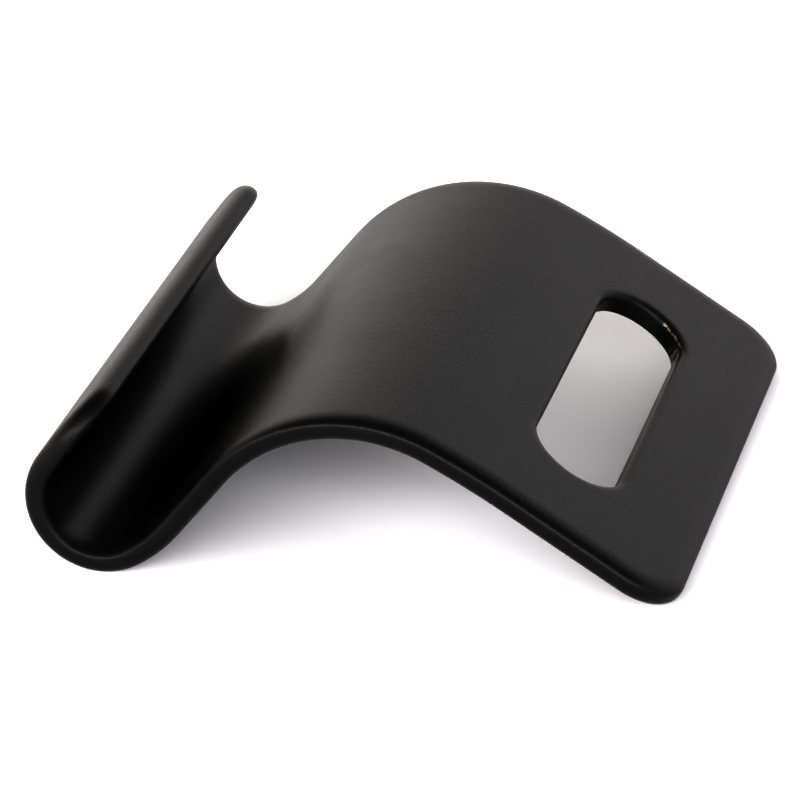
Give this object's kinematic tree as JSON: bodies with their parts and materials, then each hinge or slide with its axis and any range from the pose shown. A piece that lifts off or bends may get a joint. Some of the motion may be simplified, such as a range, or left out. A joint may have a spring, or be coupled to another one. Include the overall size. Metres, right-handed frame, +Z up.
{
  "type": "strap hook",
  "caption": "Wide coated plate hook: a flat flange with a cross slot for a strap, bent over a crest into a round trough with an upturned lip.",
  "frame": {"origin": "on the surface the hook lies on, under the middle of its bounding box", "axes": "+Z up, with the hook lying on the bottom of its trough and on the end of its flange; +X from the trough to the flange's end; +Y across the width"},
  "size_m": [0.0856, 0.0836, 0.0248],
  "materials": {
    "plate_metal": "bare steel, dulled brown where the coating is chipped",
    "satin_black": "satin black powder coating with a fine orange-peel grain"
  },
  "bodies": {
    "root": {"hook_plate": "plate_metal", "black_coating": "satin_black"}
  },
  "joints": []
}
